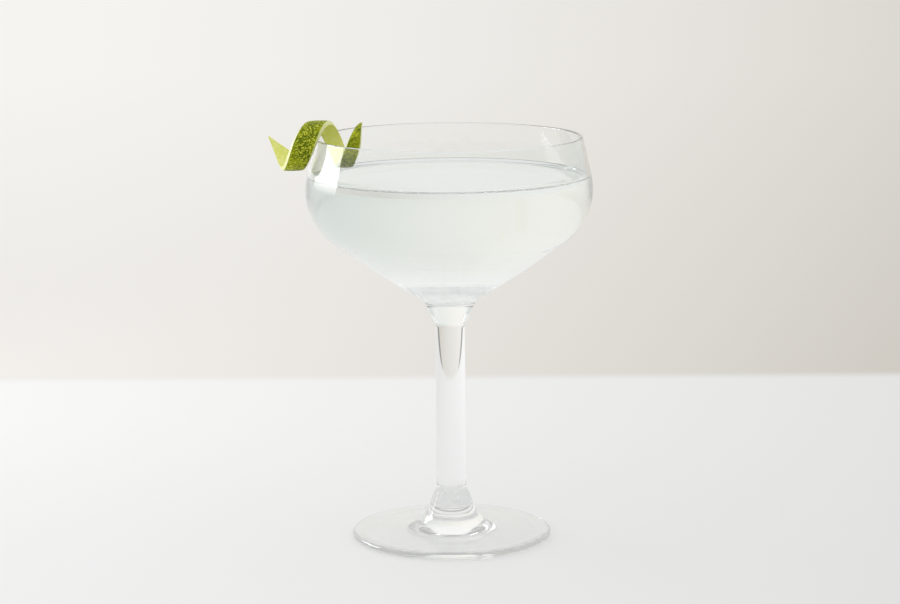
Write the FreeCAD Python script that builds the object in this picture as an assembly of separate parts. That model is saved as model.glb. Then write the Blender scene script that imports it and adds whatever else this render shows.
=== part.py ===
import FreeCAD, Part
import math
import os

# A daiquiri served up in a stemmed coupe, with a twist of lime peel hung over the rim.
# Millimetres, +Z up. The origin is the middle of the foot's underside, on the axis of the glass.
# The front is -Y, and the twist hangs at -X.
# A corner of a profile is (radius, height, rounding): two straight sides meet there, and an arc
# of that rounding, tangent to both, takes the corner off.

# Glass: its outside, from the foot upwards
foot_radius = 36.4
foot_edge = 2.3            # thickness of the disc at its edge
foot_edge_round = 1.1
rest_ring_radius = 31.5    # the foot rests on the ring outside this radius, and inside it is hollow
hollow_height = 1.5        # the underside rises to here in the middle, as a blown foot's does
flare_radius = 11.4        # the foot's top rises to here, and the flare of the stem begins
flare_foot_height = 4.3
flare_foot_round = 9.5
stem_radius = 5.45
stem_bottom = 18.4
stem_bottom_round = 8.0
stem_top = 79.0
stem_top_round = 4.0
collar_radius = 9.5        # solid glass that the bowl sits on
collar_height = 87.3
collar_round = 1.0
waist_radius = 29.1        # the bowl's lower side steepens here
waist_height = 99.9
waist_round = 120.0
shoulder_radius = 54.4     # the bowl is widest on this arc
shoulder_height = 118.3
shoulder_round = 23.0
rim_radius = 48.0          # and leans in again up to the rim
glass_height = 147.0
lip_round = 0.5

# Glass: its wall, measured square to each side, and the floor of the bowl
bottom_wall = 1.6
bowl_wall = 1.45
rim_wall = 1.15
floor_height = 87.2
floor_round = 12.0

# Drink
drink_level = 132.5
meniscus_rise = 0.9        # how far the drink climbs the wall
meniscus_width = 1.5

# Lime twist: a strip of peel wound left-handed round a level axis along X. Its angle, in degrees,
# starts at the back and grows through the bottom, the front and the top.
peel_thickness = 1.3
peel_width = 6.3
peel_swell = 2.7           # the strip is wider by this where it hangs outside the glass
swell_angle = 185.0        # the angle where it is widest
swell_spread = 130.0       # how slowly the swell dies away to each side of it
peel_bevel = 0.5           # the pith stands this far past the rind at each cut side
peel_crown = 0.25          # the rind is a little fuller along the middle of the strip
coil_pitch = 19.4
coil_radius = 9.05
coil_closing = 0.75        # loss of radius in each turn, as the curl tightens
coil_forward = -5.3        # place of the coil's axis along Y: in front of the axis of the glass
coil_height = 144.7
coil_climb = 0.25          # gain of height in each turn
coil_start = -64.9         # where the strip's low edge would be at angle 0
coil_skew = 0.85           # each turn's back is this far to the right, and its front to the left
first_angle = -16.0
last_angle = 628.0
first_point_angle = 39.0   # the length over which each end narrows to its point
last_point_angle = 92.0
point_size = 0.07          # width of a point, as a share of the strip's
point_corner = 6           # how sharply the point's sides turn into the strip's
point_thinning = 0.35      # a point grows thinner as this power of its width
section_count = 30

AXIS_FOOT = FreeCAD.Vector(0, 0, 0)
UP = FreeCAD.Vector(0, 0, 1)
OUT = FreeCAD.Vector(1, 0, 0)


def at(radius, height):
    """A point in the plane that the profiles are drawn in."""
    return FreeCAD.Vector(radius, 0, height)


def rounded_wire(corners):
    """A closed wire through the corners, with each corner's arc."""
    arcs = []
    for index, (radius, height, rounding) in enumerate(corners):
        here = at(radius, height)
        following = corners[(index + 1) % len(corners)]
        back = (at(*corners[index - 1][:2]) - here).normalize()
        ahead = (at(*following[:2]) - here).normalize()
        half_angle = back.getAngle(ahead) / 2
        reach = rounding / math.tan(half_angle)
        depth = rounding / math.sin(half_angle) - rounding
        middle = here + (back + ahead).normalize() * depth if rounding else None
        arcs.append((here + back * reach, middle, here + ahead * reach))
    edges = []
    for index, (entry, middle, leaving) in enumerate(arcs):
        edges.append(Part.LineSegment(arcs[index - 1][2], entry).toShape())
        if middle:
            edges.append(Part.Arc(entry, middle, leaving).toShape())
    return Part.Wire(edges)


def turned(corners):
    """The solid that a profile makes when it goes once round the axis of the glass."""
    return Part.Face(rounded_wire(corners)).revolve(AXIS_FOOT, UP, 360)


def moved_in(start, end, wall):
    """The side from start to end, moved towards the axis by the wall: a point and a direction."""
    direction = (at(*end) - at(*start)).normalize()
    return at(*start) + FreeCAD.Vector(-direction.z, 0, direction.x) * wall, direction


def level(height):
    return at(0, height), OUT


def meeting(first, second):
    """The point where two sides cross."""
    (point, direction), (other_point, other) = first, second
    gap = other_point - point
    along = (gap.x * other.z - gap.z * other.x) / (direction.x * other.z - direction.z * other.x)
    crossing = point + direction * along
    return crossing.x, crossing.z


# The bowl's four outside corners give both its outline and, moved in by the wall, its inside
collar = (collar_radius, collar_height)
waist = (waist_radius, waist_height)
shoulder = (shoulder_radius, shoulder_height)
rim = (rim_radius, glass_height)

outside = [
    (0, 0, 0),
    (foot_radius, 0, foot_edge_round),
    (foot_radius, foot_edge, foot_edge_round),
    (flare_radius, flare_foot_height, flare_foot_round),
    (stem_radius, stem_bottom, stem_bottom_round),
    (stem_radius, stem_top, stem_top_round),
    (*collar, collar_round),
    (*waist, waist_round),
    (*shoulder, shoulder_round),
    (*rim, lip_round),
]

upper_wall = moved_in(shoulder, rim, rim_wall)
inner_sides = [
    level(floor_height),
    moved_in(collar, waist, bottom_wall),
    moved_in(waist, shoulder, bowl_wall),
    upper_wall,
]
inner_rounds = [floor_round, waist_round - bowl_wall, shoulder_round - bowl_wall]
bowl_inside = [(0, floor_height, 0)]
for side, next_side, rounding in zip(inner_sides, inner_sides[1:], inner_rounds):
    bowl_inside.append((*meeting(side, next_side), rounding))


def make_hollow():
    """The shallow dome under the foot, which leaves a flat ring to rest on."""
    dome_radius = (rest_ring_radius ** 2 + hollow_height ** 2) / (2 * hollow_height)
    dome = Part.makeSphere(dome_radius, at(0, hollow_height - dome_radius))
    block = Part.makeCylinder(rest_ring_radius + foot_edge, foot_edge, at(0, 0), UP)
    return dome.common(block)


def make_glass():
    inner_rim = (*meeting(upper_wall, level(glass_height)), lip_round)
    return turned(outside + [inner_rim] + bowl_inside[::-1]).cut(make_hollow())


def make_drink():
    """The bowl's inside up to the level, with the rounded edge that climbs the wall."""
    open_top = [(*meeting(upper_wall, level(glass_height)), 0), (0, glass_height, 0)]
    bowl_space = turned(bowl_inside + open_top)
    edge_height = drink_level + meniscus_rise
    edge_radius = meeting(upper_wall, level(edge_height))[0]
    flat_radius = edge_radius - meniscus_width
    curve_radius = (meniscus_width ** 2 + meniscus_rise ** 2) / (2 * meniscus_rise)
    half_turn = math.asin(meniscus_width / curve_radius) / 2
    curve_middle = at(flat_radius + curve_radius * math.sin(half_turn),
                      drink_level + curve_radius * (1 - math.cos(half_turn)))
    points = [at(0, drink_level), at(flat_radius, drink_level), at(edge_radius, edge_height),
              at(shoulder_radius, edge_height), at(shoulder_radius, glass_height + 1),
              at(0, glass_height + 1)]
    sides = zip(points, points[1:] + points[:1])
    edges = [Part.LineSegment(start, end).toShape() for start, end in sides]
    edges[1] = Part.Arc(points[1], curve_middle, points[2]).toShape()
    air = Part.Face(Part.Wire(edges)).revolve(AXIS_FOOT, UP, 360)
    return bowl_space.cut(air)


def narrowing(angle_from_end, length):
    """Share of the strip's width at an angle from its end: a point that grows to the full strip."""
    share = max(angle_from_end, 0) / length
    grown = share / (1 + share ** point_corner) ** (1 / point_corner)
    return point_size + (1 - point_size) * grown


def peel_section(angle):
    """The strip's cross-section, in the half plane that turns round the coil's axis."""
    turns = angle / 360
    radius = coil_radius - coil_closing * turns
    height = coil_height + coil_climb * turns
    size = narrowing(angle - first_angle, first_point_angle)
    size *= narrowing(last_angle - angle, last_point_angle)
    swell = math.exp(-((angle - swell_angle) / swell_spread) ** 2)
    width = (peel_width + peel_swell * swell) * size
    thickness = peel_thickness * size ** point_thinning
    bevel = peel_bevel * size
    cosine, sine = math.cos(math.radians(angle)), math.sin(math.radians(angle))
    low_edge = coil_start + coil_pitch * turns + coil_skew * cosine

    def point(along, from_axis):
        ahead = coil_forward + from_axis * cosine
        return FreeCAD.Vector(low_edge + along, ahead, height - from_axis * sine)

    crown = peel_crown * size
    rind_start, rind_end = point(bevel, radius), point(width - bevel, radius)
    pith_start, pith_end = point(0, radius - thickness), point(width, radius - thickness)
    rind_middle = point(width / 2, radius + crown)
    pith_middle = point(width / 2, radius - thickness + crown)
    return Part.Wire([
        Part.Arc(rind_start, rind_middle, rind_end).toShape(),
        Part.LineSegment(rind_end, pith_end).toShape(),
        Part.Arc(pith_end, pith_middle, pith_start).toShape(),
        Part.LineSegment(pith_start, rind_start).toShape(),
    ])


def make_twist():
    step = (last_angle - first_angle) / (section_count - 1)
    sections = [peel_section(first_angle + step * index) for index in range(section_count)]
    return Part.makeLoft(sections, True, False)


os.makedirs("parts", exist_ok=True)
makers = {"coupe_glass": make_glass, "daiquiri_drink": make_drink, "lime_twist": make_twist}
for name, maker in makers.items():
    solid = maker()
    solid.exportStep("parts/" + name + ".step")
    print(name, "valid", solid.isValid(), "cm3", round(solid.Volume / 1000, 2))
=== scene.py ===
import math

import bpy
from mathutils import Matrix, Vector, noise


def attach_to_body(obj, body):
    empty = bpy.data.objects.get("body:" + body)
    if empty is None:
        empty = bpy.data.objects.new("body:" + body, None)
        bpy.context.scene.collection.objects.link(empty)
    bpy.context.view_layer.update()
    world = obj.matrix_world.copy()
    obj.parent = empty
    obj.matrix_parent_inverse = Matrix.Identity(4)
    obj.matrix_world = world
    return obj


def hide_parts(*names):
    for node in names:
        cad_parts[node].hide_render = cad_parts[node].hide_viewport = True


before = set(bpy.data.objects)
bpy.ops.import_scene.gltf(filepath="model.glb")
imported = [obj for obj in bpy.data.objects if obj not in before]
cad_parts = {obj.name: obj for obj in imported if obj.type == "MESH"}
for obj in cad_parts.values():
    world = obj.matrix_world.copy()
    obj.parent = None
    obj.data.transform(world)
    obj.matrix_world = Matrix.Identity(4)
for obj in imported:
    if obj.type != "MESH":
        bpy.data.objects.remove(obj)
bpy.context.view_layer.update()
print("frame loaded")

# A daiquiri in a stemmed coupe with a twist of lime peel over the rim. Lengths are written in
# millimetres and turned into metres with mm. The axis of the glass is Z, and the front is -Y.
mm = 0.001
fullTurn = 2 * math.pi


def pickNothing():
    for thing in bpy.context.selected_objects:
        thing.select_set(False)


def editPiece(piece):
    pickNothing()
    piece.select_set(True)
    bpy.context.view_layer.objects.active = piece
    bpy.ops.object.mode_set(mode="EDIT")


def leaveEdit():
    bpy.ops.object.mode_set(mode="OBJECT")


def newMaterial(name):
    material = bpy.data.materials.new(name)
    material.use_nodes = True
    return material, material.node_tree, material.node_tree.nodes["Principled BSDF"]


# node helpers: each takes numbers, colours or sockets, and returns the socket of its result
def feed(tree, socket, value):
    if isinstance(value, bpy.types.NodeSocket):
        tree.links.new(value, socket)
    else:
        socket.default_value = value


def mathNode(tree, operation, *values):
    node = tree.nodes.new("ShaderNodeMath")
    node.operation = operation
    for socket, value in zip(node.inputs, values):
        feed(tree, socket, value)
    return node.outputs["Value"]


def spanned(tree, value, low, high):
    # 0 up to low, 1 from high on, and a soft step between them
    node = tree.nodes.new("ShaderNodeMapRange")
    node.interpolation_type = "SMOOTHSTEP"
    for name, given in (("Value", value), ("From Min", low), ("From Max", high)):
        feed(tree, node.inputs[name], given)
    return node.outputs["Result"]


def blended(tree, share, first, second):
    node = tree.nodes.new("ShaderNodeMix")
    node.data_type = "RGBA"
    firstInput, secondInput = [socket for socket in node.inputs if socket.type == "RGBA"]
    feed(tree, node.inputs["Factor"], share)
    feed(tree, firstInput, first)
    feed(tree, secondInput, second)
    return [socket for socket in node.outputs if socket.type == "RGBA"][0]


def placeParts(tree, kind):
    # X, Y and Z of one kind of texture coordinates
    coordinates = tree.nodes.new("ShaderNodeTexCoord")
    parts = tree.nodes.new("ShaderNodeSeparateXYZ")
    tree.links.new(coordinates.outputs[kind], parts.inputs["Vector"])
    return parts.outputs


def noiseNode(tree, scale, detail):
    # a noise that stays with the piece
    coordinates = tree.nodes.new("ShaderNodeTexCoord")
    pattern = tree.nodes.new("ShaderNodeTexNoise")
    pattern.inputs["Scale"].default_value = scale
    pattern.inputs["Detail"].default_value = detail
    tree.links.new(coordinates.outputs["Object"], pattern.inputs["Vector"])
    return pattern.outputs["Fac"]


def attach(piece, node):
    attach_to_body(piece, "root")
    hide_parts(node)


# An outline runs through corners. A corner is (radius, height, rounding): two straight sides meet
# there, and an arc takes it off.
lathe = {
    "steps": 224,
    "arcStep": math.radians(4),
    "fewestArcSteps": 4,
    "guard": 0.12,            # a straight side has an extra edge this far from its arcs, to shade flat
    "shortestSide": 0.36,     # a side shorter than this has no such edge
    "mergeWithin": 0.002,
}


def sideDirection(start, end):
    return Vector((end[0] - start[0], end[1] - start[1])).normalized()


def movedIn(start, end, wall):
    # the side from start to end, moved towards the axis by the wall: a point and a direction
    direction = sideDirection(start, end)
    return Vector(start[:2]) + Vector((-direction.y, direction.x)) * wall, direction


def levelSide(height):
    return Vector((0, height)), Vector((1, 0))


def meeting(first, second):
    point, direction = first
    otherPoint, other = second
    gap = otherPoint - point
    along = (gap.x * other.y - gap.y * other.x) / (direction.x * other.y - direction.y * other.x)
    crossing = point + direction * along
    return crossing.x, crossing.y


def startProfile(name, height):
    # one vertex on the axis, which the drawing functions draw on from
    pickNothing()
    bpy.ops.mesh.primitive_plane_add(size=mm, location=(0, 0, 0))
    piece = bpy.context.active_object
    piece.name = name
    piece.data.name = name
    bpy.ops.object.mode_set(mode="EDIT")
    bpy.ops.mesh.select_all(action="SELECT")
    bpy.ops.mesh.merge(type="CENTER")
    bpy.ops.transform.translate(value=(0, 0, height * mm))
    return piece


def drawTo(here, there):
    step = Vector((there[0] - here[0], 0, there[1] - here[1])) * mm
    bpy.ops.mesh.extrude_region_move(TRANSFORM_OT_translate={"value": step})
    return there


def drawArc(here, centre, turn, steps):
    # turn in radians, positive from the radius towards the height; with no window, spin turns backwards
    bpy.ops.mesh.spin(steps=steps, angle=abs(turn), center=(centre[0] * mm, 0, centre[1] * mm),
                      axis=(0, math.copysign(1, turn), 0))
    swing = Vector((here[0] - centre[0], here[1] - centre[1]))
    return (centre[0] + swing.x * math.cos(turn) - swing.y * math.sin(turn),
            centre[1] + swing.x * math.sin(turn) + swing.y * math.cos(turn))


def drawCorners(here, corners):
    # draws on from here round each corner and ends on the last one
    guard = lathe["guard"]
    for index, (radius, height, rounding) in enumerate(corners[:-1]):
        corner = Vector((radius, height))
        back = (Vector(here[:2]) - corner).normalized()
        ahead = sideDirection(corner, corners[index + 1])
        half = back.angle(ahead) / 2
        reach = rounding / math.tan(half)
        entry = corner + back * reach
        leaving = corner + ahead * reach
        if (entry - Vector(here[:2])).length > lathe["shortestSide"]:
            here = drawTo(here, tuple(entry + back * guard))
        here = drawTo(here, tuple(entry))
        centre = corner + (back + ahead).normalized() * (rounding / math.sin(half))
        turn = math.pi - 2 * half
        sense = -back.x * ahead.y + back.y * ahead.x
        steps = max(lathe["fewestArcSteps"], round(turn / lathe["arcStep"]))
        here = drawArc(here, tuple(centre), math.copysign(turn, sense), steps)
        following = Vector(corners[index + 1][:2])
        if (following - leaving).length > lathe["shortestSide"]:
            here = drawTo(here, tuple(leaving + ahead * guard))
    return drawTo(here, corners[-1][:2])


def turnOnLathe():
    bpy.ops.mesh.select_all(action="SELECT")
    bpy.ops.mesh.spin(steps=lathe["steps"], angle=fullTurn, center=(0, 0, 0), axis=(0, 0, 1))
    bpy.ops.mesh.select_all(action="SELECT")
    bpy.ops.mesh.remove_doubles(threshold=lathe["mergeWithin"] * mm)
    bpy.ops.mesh.normals_make_consistent(inside=False)
    leaveEdit()
    bpy.ops.object.shade_smooth()


# A ray ends in black after a number of bounces. Before that, one that has met this many surfaces of the
# glass and the drink, or was mirrored this often, goes straight on and is dimmed at each surface.
clear = {
    "surfacesMet": 9,
    "mirrorings": 4,
    "lastingShare": 0.55,     # how solid a surface still is to such a ray
}


def makeClearMaterial(name, colour, ior):
    material, tree, shader = newMaterial(name)
    shader.inputs["Base Color"].default_value = colour
    shader.inputs["Roughness"].default_value = 0.0
    shader.inputs["IOR"].default_value = ior
    shader.inputs["Transmission Weight"].default_value = 1.0
    path = tree.nodes.new("ShaderNodeLightPath")
    fewMet = mathNode(tree, "LESS_THAN", path.outputs["Ray Depth"], clear["surfacesMet"])
    fewMirrored = mathNode(tree, "LESS_THAN", path.outputs["Glossy Depth"], clear["mirrorings"])
    fresh = mathNode(tree, "MULTIPLY", fewMet, fewMirrored)
    feed(tree, shader.inputs["Alpha"],
         mathNode(tree, "MULTIPLY_ADD", fresh, 1 - clear["lastingShare"], clear["lastingShare"]))
    return material


glass = {
    "restRing": 31.5, "hollowHeight": 1.5,      # the underside is a shallow dome inside this ring
    "foot": [(36.4, 0, 1.1), (36.4, 2.3, 1.1)],
    "stem": [(11.4, 4.3, 9.5), (5.45, 18.4, 8.0), (5.45, 79.0, 4.0)],
    "collar": (9.5, 87.3), "collarRound": 1.0,
    "waist": (29.1, 99.9), "waistRound": 120.0,
    "shoulder": (54.4, 118.3), "shoulderRound": 23.0,
    "rim": (48.0, 147.0), "lipRound": 0.5,
    "bottomWall": 1.6, "bowlWall": 1.45, "rimWall": 1.15,
    "floorHeight": 87.2, "floorRound": 12.0,
    "hollowSteps": 24,
    "colour": (0.985, 0.995, 0.99, 1),
    "ior": 1.5,
}


def bowlInside(reach):
    # the bowl's inner side from its floor up, moved into the wall by reach, and the side it ends on
    sides = [
        levelSide(glass["floorHeight"] - reach),
        movedIn(glass["collar"], glass["waist"], glass["bottomWall"] - reach),
        movedIn(glass["waist"], glass["shoulder"], glass["bowlWall"] - reach),
        movedIn(glass["shoulder"], glass["rim"], glass["rimWall"] - reach),
    ]
    rounds = [glass["floorRound"], glass["waistRound"] - glass["bowlWall"],
              glass["shoulderRound"] - glass["bowlWall"]]
    corners = [(*meeting(side, following), rounding)
               for side, following, rounding in zip(sides, sides[1:], rounds)]
    return corners, sides[-1]


def makeGlass():
    corners, upperSide = bowlInside(0)
    outside = [*glass["foot"], *glass["stem"], (*glass["collar"], glass["collarRound"]),
               (*glass["waist"], glass["waistRound"]), (*glass["shoulder"], glass["shoulderRound"]),
               (*glass["rim"], glass["lipRound"])]
    innerRim = (*meeting(upperSide, levelSide(glass["rim"][1])), glass["lipRound"])
    inside = [innerRim, *corners[::-1], (0, glass["floorHeight"], 0)]
    ring, height = glass["restRing"], glass["hollowHeight"]
    domeRadius = (ring ** 2 + height ** 2) / (2 * height)
    piece = startProfile("coupeGlass", height)
    here = drawArc((0, height), (0, height - domeRadius), -math.asin(ring / domeRadius),
                   glass["hollowSteps"])
    drawCorners(here, outside + inside)
    turnOnLathe()
    piece.data.materials.append(makeClearMaterial("clearCrystal", glass["colour"], glass["ior"]))
    attach(piece, "coupe_glass")
    print("glass", len(piece.data.polygons), "faces")


drink = {
    "level": 132.5,
    "meniscusRise": 0.9,
    "meniscusWidth": 1.5,
    "meniscusSteps": 14,
    "intoWall": 0.25,       # the drink's side lies this far inside the glass
    "colour": (0.95, 0.965, 0.968, 1),
    "ior": 1.335,
}


def makeDrink():
    # up the wall, in to the wall's face, down the small curve and level to the axis
    level, rise, width = drink["level"], drink["meniscusRise"], drink["meniscusWidth"]
    edgeHeight = level + rise
    corners, sunkenSide = bowlInside(drink["intoWall"])
    sunkenRadius = meeting(sunkenSide, levelSide(edgeHeight))[0]
    edgeRadius = meeting(bowlInside(0)[1], levelSide(edgeHeight))[0]
    curve = (width ** 2 + rise ** 2) / (2 * rise)
    bottom = glass["floorHeight"] - drink["intoWall"]
    piece = startProfile("daiquiriDrink", bottom)
    here = drawCorners((0, bottom), corners + [(sunkenRadius, edgeHeight, 0)])
    here = drawTo(here, (edgeRadius, edgeHeight))
    here = drawArc(here, (edgeRadius - width, level + curve), -math.asin(width / curve),
                   drink["meniscusSteps"])
    here = drawTo(here, (here[0] - lathe["guard"], level))
    drawTo(here, (0, level))
    turnOnLathe()
    piece.data.materials.append(makeClearMaterial("paleDaiquiri", drink["colour"], drink["ior"]))
    attach(piece, "daiquiri_drink")
    print("drink", len(piece.data.polygons), "faces")


# The strip is cut flat and then wound round a level axis along X. Its angle, in degrees, starts at the
# back and grows through the bottom, the front and the top.
twist = {
    "thickness": 1.3, "width": 6.3, "bevel": 0.5, "crown": 0.25,
    "swell": 2.7, "swellAngle": 185, "swellSpread": 130,      # it is this much wider round one angle
    "pitch": 19.4, "radius": 9.05, "closing": 0.75,           # the radius shrinks by closing each turn
    "start": -64.9, "forward": -5.3, "height": 144.7,
    "climb": 0.25, "skew": 0.85,
    "firstAngle": -16, "lastAngle": 628,
    "firstPoint": 39, "lastPoint": 92,                        # the angles over which its ends narrow
    "pointSize": 0.07, "pointCorner": 6, "thinning": 0.35,
    "stepsAlong": 720, "stepsAcross": 54, "cutRows": 4,
    "smoothWithin": 50,
}

# the rind has shallow pores, each a light dot on a green that is darker in places
rind = {
    "poreSpacing": 0.5, "poreDepth": 0.07,
    "poreReach": 0.8, "poreSteepness": 1.5,                   # the reach is in spacings
    "dotEdge": (0.28, 0.7),                                   # in reaches, from a dot to the green round it
    "dotColour": (0.74, 0.76, 0.06, 1),
    "darkColour": (0.12, 0.165, 0.001, 1),
    "ripeColour": (0.29, 0.345, 0.003, 1),
    "ripenessScale": 170, "ripenessDetail": 2, "ripenessEdge": (0.35, 0.65),
    "roughness": 0.45, "shine": 0.12,
}

pith = {
    "grain": 1.6, "depth": 0.09,
    "roughening": 0.8, "lacunarity": 2, "octaves": 3,
    "greenColour": (0.82, 0.85, 0.19, 1),
    "paleColour": (0.90, 0.90, 0.34, 1),
    "blotchScale": 700, "blotchDetail": 3, "blotchEdge": (0.3, 0.7),
    "roughness": 0.6,
}

# the knife wandered a little along both pale cut edges, and beside them a rim of light is painted on the
# rind
cut = {
    "grain": 2.2, "wander": 0.16,
    "slant": 1.5,                                             # the wandering changes through the peel
    "sharpness": 8,                                           # it fades fast from the cut inwards
    # this share of the width at the edges is painted pale on the rind, as a rim of light
    "paintedRimLight": 0.04, "paleDepth": 0.7,                     # shares of the width and the thickness
    "colour": (0.90, 0.92, 0.45, 1),
    "roughness": 0.55,
}


def narrowing(angleFromEnd, length):
    # the strip's size near an end: it grows evenly, and turns to 1 round a corner
    share = max(angleFromEnd, 0) / length
    corner = twist["pointCorner"]
    grown = share / (1 + share ** corner) ** (1 / corner)
    return twist["pointSize"] + (1 - twist["pointSize"]) * grown


def cutStrip():
    # a flat slab, 1 long, wide and thick: X along the strip, Y across it and Z from the pith to the rind
    pickNothing()
    bpy.ops.mesh.primitive_grid_add(x_subdivisions=twist["stepsAlong"],
                                    y_subdivisions=twist["stepsAcross"],
                                    size=1, location=(0.5, 0.5, 1))
    piece = bpy.context.active_object
    piece.name = "limeTwist"
    piece.data.name = "limeTwist"
    bpy.ops.object.transform_apply(location=True, rotation=True, scale=True)
    bpy.ops.object.mode_set(mode="EDIT")
    bpy.ops.mesh.select_all(action="SELECT")
    bpy.ops.mesh.extrude_region_move(TRANSFORM_OT_translate={"value": (0, 0, -1)})
    bpy.ops.mesh.select_all(action="DESELECT")
    leaveEdit()
    for edge in piece.data.edges:      # only the upright edges are divided, into the rows of the cut
        low, high = (piece.data.vertices[index].co.z for index in edge.vertices)
        edge.select = low != high
    editPiece(piece)
    bpy.ops.mesh.select_mode(type="EDGE")
    bpy.ops.mesh.subdivide(number_cuts=twist["cutRows"] - 1)
    bpy.ops.mesh.select_all(action="SELECT")
    bpy.ops.mesh.normals_make_consistent(inside=False)
    leaveEdit()
    return piece


def woundPoint(along, across, depth):
    # where a point of the slab lies on the coil, and how far it is from a pore's middle, in reaches
    angle = twist["firstAngle"] + (twist["lastAngle"] - twist["firstAngle"]) * along
    turns = angle / 360
    size = (narrowing(angle - twist["firstAngle"], twist["firstPoint"])
            * narrowing(twist["lastAngle"] - angle, twist["lastPoint"]))
    swell = math.exp(-((angle - twist["swellAngle"]) / twist["swellSpread"]) ** 2)
    width = (twist["width"] + twist["swell"] * swell) * size
    thickness = twist["thickness"] * size ** twist["thinning"]
    place = Vector((math.radians(angle) * twist["radius"], across * width, 0))      # in mm on the flat peel

    fromMiddle = 2 * across - 1
    nearCut = abs(fromMiddle) ** cut["sharpness"]
    wander = 0.5 + 0.5 * noise.noise(place / cut["grain"] + Vector((0, 0, depth * cut["slant"])))
    margin = (twist["bevel"] * depth + cut["wander"] * wander * nearCut) * size * nearCut
    inset = margin if fromMiddle < 0 else -margin

    relief = 0
    pore = 0
    if depth == 1:
        distances = noise.voronoi(place / rind["poreSpacing"])[0]
        pore = min(1, distances[0] / rind["poreReach"])
        relief = -rind["poreDepth"] * math.sqrt(size) * (1 - pore) ** rind["poreSteepness"]
    if depth == 0:
        grain = noise.fractal(place / pith["grain"], pith["roughening"], pith["lacunarity"], pith["octaves"])
        relief = pith["depth"] * size * (0.5 + 0.5 * grain)

    cosine, sine = math.cos(math.radians(angle)), math.sin(math.radians(angle))
    crown = twist["crown"] * size * (1 - fromMiddle ** 2)
    fromAxis = twist["radius"] - twist["closing"] * turns - thickness * (1 - depth) + crown + relief
    x = twist["start"] + twist["pitch"] * turns + twist["skew"] * cosine + across * width + inset
    y = twist["forward"] + fromAxis * cosine
    z = twist["height"] + twist["climb"] * turns - fromAxis * sine
    return Vector((x, y, z)) * mm, pore


def makeRindMaterial():
    material, tree, shader = newMaterial("limeRind")
    pore = tree.nodes.new("ShaderNodeAttribute")
    pore.attribute_name = "pore"
    ripeness = noiseNode(tree, rind["ripenessScale"], rind["ripenessDetail"])
    green = blended(tree, spanned(tree, ripeness, *rind["ripenessEdge"]),
                    rind["darkColour"], rind["ripeColour"])
    outsideDot = spanned(tree, pore.outputs["Fac"], *rind["dotEdge"])
    feed(tree, shader.inputs["Base Color"], blended(tree, outsideDot, rind["dotColour"], green))
    shader.inputs["Roughness"].default_value = rind["roughness"]
    shader.inputs["Specular IOR Level"].default_value = rind["shine"]
    return material


def makePithMaterial():
    material, tree, shader = newMaterial("limePith")
    blotches = noiseNode(tree, pith["blotchScale"], pith["blotchDetail"])
    feed(tree, shader.inputs["Base Color"],
         blended(tree, spanned(tree, blotches, *pith["blotchEdge"]),
                 pith["greenColour"], pith["paleColour"]))
    shader.inputs["Roughness"].default_value = pith["roughness"]
    return material


# the pale of the cut faces, also put on the rind's edges as painted rim light
def makeCutAndRimLightMaterial():
    material, tree, shader = newMaterial("limeCutEdgeAndRimLight")
    shader.inputs["Base Color"].default_value = cut["colour"]
    shader.inputs["Roughness"].default_value = cut["roughness"]
    return material


def makeTwist():
    piece = cutStrip()
    mesh = piece.data
    rindIndex, pithIndex, cutAndRimLightIndex = range(3)
    for material in (makeRindMaterial(), makePithMaterial(), makeCutAndRimLightMaterial()):
        mesh.materials.append(material)
    flat = [vertex.co.copy() for vertex in mesh.vertices]
    for polygon in mesh.polygons:
        depths = [flat[index].z for index in polygon.vertices]
        shares = [flat[index].y for index in polygon.vertices]
        border = min(min(shares), 1 - max(shares))
        if max(depths) == 0:
            polygon.material_index = pithIndex
        # the cut sides are pale, and the rind at the edges gets the same pale colour as painted rim light
        elif border < cut["paintedRimLight"] or min(depths) < cut["paleDepth"]:
            polygon.material_index = cutAndRimLightIndex
        else:
            polygon.material_index = rindIndex
    pores = mesh.attributes.new("pore", "FLOAT", "POINT")
    for vertex, place in zip(mesh.vertices, flat):
        vertex.co, pores.data[vertex.index].value = woundPoint(*place)
    editPiece(piece)
    bpy.ops.mesh.select_all(action="SELECT")
    bpy.ops.mesh.normals_make_consistent(inside=False)
    leaveEdit()
    bpy.ops.object.shade_smooth_by_angle(angle=math.radians(twist["smoothWithin"]))
    attach(piece, "lime_twist")
    print("twist", len(mesh.polygons), "faces")


# One plane is the table and, past the table's far edge, the ground behind. The colours of each are given
# near left, near right, far left and far right. Over their own pale colour they hold painted light and
# shade: lighter to the left, towards the window, darker to the right, and on the ground darker near the
# table's edge. To each side a painted dark strip stands for the shade of a gap behind the table's far
# edge, and only rays that come through the glass see it.
setting = {
    "size": 14.0,
    "below": 0.1,             # the floor lies this far under the foot, in mm, and all else here in metres
    "viewpoint": 0.92,        # the colours spread out from a point this far in front of the glass
    "leastDistance": 0.3,
    "slope": 0.18,            # its slant to where the colours to the left and right are reached
    "falloff": 1.6,           # the light falls off mostly towards the right
    "tableNear": -0.07, "tableEdge": 0.285, "edgeBlur": 0.01,
    "groundSpread": 1.7,
    # painted light and shade over the pale table and ground: lighter on the left, darker on the right
    "tableColoursWithPaintedLight": ((0.862, 0.863, 0.863, 1), (0.775, 0.775, 0.77, 1),
                     (0.897, 0.897, 0.897, 1), (0.785, 0.785, 0.78, 1)),
    "groundColoursWithPaintedLight": ((0.849, 0.828, 0.80, 1), (0.629, 0.60, 0.55, 1),
                      (0.945, 0.932, 0.91, 1), (0.725, 0.70, 0.655, 1)),
    "gapStart": 0.11, "gapSlope": 0.34,
    # painted shade: a dark strip where the gap behind the table's far edge lies in shade
    "gapShadeColour": (0.05, 0.05, 0.048, 1),
    "roughness": 0.6, "shine": 0.2,
    "glowShare": 0.65,        # this share of the colour glows, for what sees the floor straight or in glass
}


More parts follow.
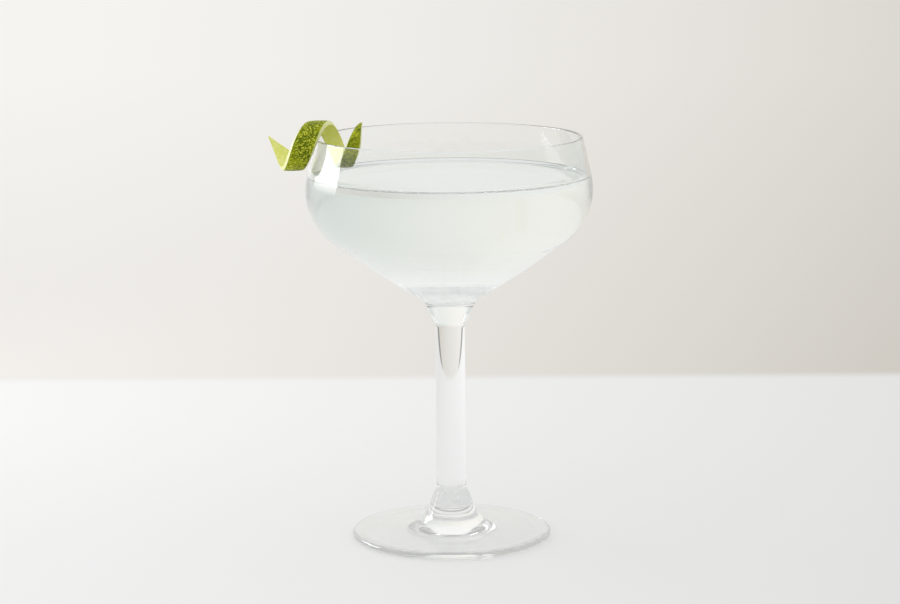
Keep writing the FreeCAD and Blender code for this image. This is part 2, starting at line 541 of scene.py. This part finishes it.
def fourColours(tree, colours, across, away):
    nearColour = blended(tree, across, colours[0], colours[1])
    farColour = blended(tree, across, colours[2], colours[3])
    return blended(tree, away, nearColour, farColour)


def floorColourWithPaintedLight(tree, place, beyond):
    # the floor's pale colour with its painted light and shade
    distance = mathNode(tree, "MAXIMUM", mathNode(tree, "ADD", place["Y"], setting["viewpoint"]),
                        setting["leastDistance"])
    slant = mathNode(tree, "DIVIDE", place["X"], distance)
    rightwards = mathNode(tree, "MULTIPLY_ADD", slant, 0.5 / setting["slope"], 0.5)
    rightwards = mathNode(tree, "MAXIMUM", mathNode(tree, "MINIMUM", rightwards, 1), 0)
    across = mathNode(tree, "POWER", rightwards, setting["falloff"])
    tableAway = spanned(tree, place["Y"], setting["tableNear"], setting["tableEdge"])
    table = fourColours(tree, setting["tableColoursWithPaintedLight"], across, tableAway)
    groundAway = mathNode(tree, "DIVIDE", mathNode(tree, "MAXIMUM", beyond, 0), distance)
    groundAway = mathNode(tree, "MULTIPLY", groundAway, setting["groundSpread"])
    ground = fourColours(tree, setting["groundColoursWithPaintedLight"], across, groundAway)
    onGround = spanned(tree, beyond, -setting["edgeBlur"], setting["edgeBlur"])
    return blended(tree, onGround, table, ground)


def gapShadeShare(tree, place, beyond):
    # 1 in the gap's painted shade, which starts at some distance to the side and widens outwards
    sideways = mathNode(tree, "SUBTRACT", mathNode(tree, "ABSOLUTE", place["X"]), setting["gapStart"])
    gapEnd = mathNode(tree, "MULTIPLY", sideways, setting["gapSlope"])
    return mathNode(tree, "MULTIPLY", mathNode(tree, "GREATER_THAN", beyond, 0),
                    mathNode(tree, "LESS_THAN", beyond, gapEnd))


def makeFloor():
    pickNothing()
    bpy.ops.mesh.primitive_plane_add(size=setting["size"], location=(0, 0, -setting["below"] * mm))
    floor = bpy.context.active_object
    floor.name = "floor"
    material, tree, shader = newMaterial("paleTable")
    floor.data.materials.append(material)
    place = placeParts(tree, "Object")
    beyond = mathNode(tree, "SUBTRACT", place["Y"], setting["tableEdge"])
    colour = floorColourWithPaintedLight(tree, place, beyond)
    feed(tree, shader.inputs["Base Color"], colour)
    shader.inputs["Roughness"].default_value = setting["roughness"]
    shader.inputs["Specular IOR Level"].default_value = setting["shine"]

    rays = tree.nodes.new("ShaderNodeLightPath").outputs
    # the painted shade of the gap is seen only by rays that come through the glass
    gapShadeSeen = mathNode(tree, "MULTIPLY", gapShadeShare(tree, place, beyond), rays["Is Transmission Ray"])
    glow = tree.nodes.new("ShaderNodeEmission")
    feed(tree, glow.inputs["Color"], blended(tree, gapShadeSeen, colour, setting["gapShadeColour"]))
    seenInGlass = mathNode(tree, "MAXIMUM", rays["Is Glossy Ray"], rays["Is Transmission Ray"])
    seen = mathNode(tree, "MAXIMUM", rays["Is Camera Ray"], seenInGlass)
    mix = tree.nodes.new("ShaderNodeMixShader")
    feed(tree, mix.inputs["Fac"], mathNode(tree, "MULTIPLY", seen, setting["glowShare"]))
    tree.links.new(shader.outputs["BSDF"], mix.inputs[1])
    tree.links.new(glow.outputs["Emission"], mix.inputs[2])
    tree.links.new(mix.outputs["Shader"], tree.nodes["Material Output"].inputs["Surface"])
    print("floor")


# The room is a world of soft colours, told apart by direction, and a window to the left.
room = {
    "behindLeft": (0.97, 0.94, 0.875, 1),
    "behindRight": (0.68, 0.72, 0.68, 1), "leftToRight": (-0.5, 0.75),
    "front": (0.66, 0.70, 0.68, 1), "frontToBehind": (-0.5, 0.4),
    "top": (0.97, 0.96, 0.95, 1), "sideToTop": (0.1, 0.8),
}

window = {
    "place": (-0.45, 0.21, 0.235),
    "width": 0.31, "height": 0.27,
    "power": 0.75,
    "shinePower": 2.2,                # what the glass mirrors of the window has a power of its own
    "shineColour": (0.92, 0.955, 1.0),
    "shineFade": (0.0, 0.55),         # as shares of the height, from the lower side
    "apart": 2.0,                     # in mm, since lamps at one place hide each other
}


def makeWorld():
    world = bpy.data.worlds.new("room")
    bpy.context.scene.world = world
    world.use_nodes = True
    tree = world.node_tree
    place = placeParts(tree, "Generated")
    behind = blended(tree, spanned(tree, place["X"], *room["leftToRight"]),
                     room["behindLeft"], room["behindRight"])
    level = blended(tree, spanned(tree, place["Y"], *room["frontToBehind"]), room["front"], behind)
    colour = blended(tree, spanned(tree, place["Z"], *room["sideToTop"]), level, room["top"])
    feed(tree, tree.nodes["Background"].inputs["Color"], colour)
    tree.nodes["Background"].inputs["Strength"].default_value = 1.0


def makeWindowLamp(name, power, nearer):
    data = bpy.data.lights.new(name, "AREA")
    data.shape = "RECTANGLE"
    data.size = window["width"]
    data.size_y = window["height"]
    data.energy = power
    lamp = bpy.data.objects.new(name, data)
    bpy.context.scene.collection.objects.link(lamp)
    place = Vector(window["place"])
    aim = Vector((0, 0, place.z)) - place
    lamp.location = place + aim.normalized() * nearer * mm
    lamp.rotation_euler = aim.to_track_quat("-Z", "Y").to_euler()
    lamp.visible_camera = False
    lamp.visible_transmission = False
    return lamp


def makeWindow():
    # one lamp lights the scene, and another is what the glass mirrors
    light = makeWindowLamp("windowLight", window["power"], 0)
    light.visible_glossy = False
    shine = makeWindowLamp("windowShine", window["shinePower"], window["apart"])
    shine.visible_diffuse = False
    shine.data.color = window["shineColour"]
    shine.data.use_nodes = True
    tree = shine.data.node_tree
    parts = tree.nodes.new("ShaderNodeSeparateXYZ")
    tree.links.new(tree.nodes.new("ShaderNodeNewGeometry").outputs["Parametric"], parts.inputs["Vector"])
    feed(tree, tree.nodes["Emission"].inputs["Strength"],
         spanned(tree, parts.outputs["Y"], *window["shineFade"]))


view = {
    "place": (0, -0.920, 0.2493),
    "tilt": 10.02, "roll": 0.42, "turn": -0.073,    # in degrees: down, clockwise and to the right
    "lens": 103.16, "sensor": 36,
}


def makeCamera():
    data = bpy.data.cameras.new("camera")
    data.lens = view["lens"]
    data.sensor_width = view["sensor"]
    camera = bpy.data.objects.new("camera", data)
    bpy.context.scene.collection.objects.link(camera)
    camera.location = view["place"]
    camera.rotation_euler = [math.radians(angle)
                             for angle in (90 - view["tilt"], view["roll"], view["turn"])]
    bpy.context.scene.camera = camera


makeGlass()
makeDrink()
makeTwist()
makeFloor()
makeWorld()
makeWindow()
makeCamera()
bpy.context.scene.view_settings.view_transform = "Standard"
print("room set")
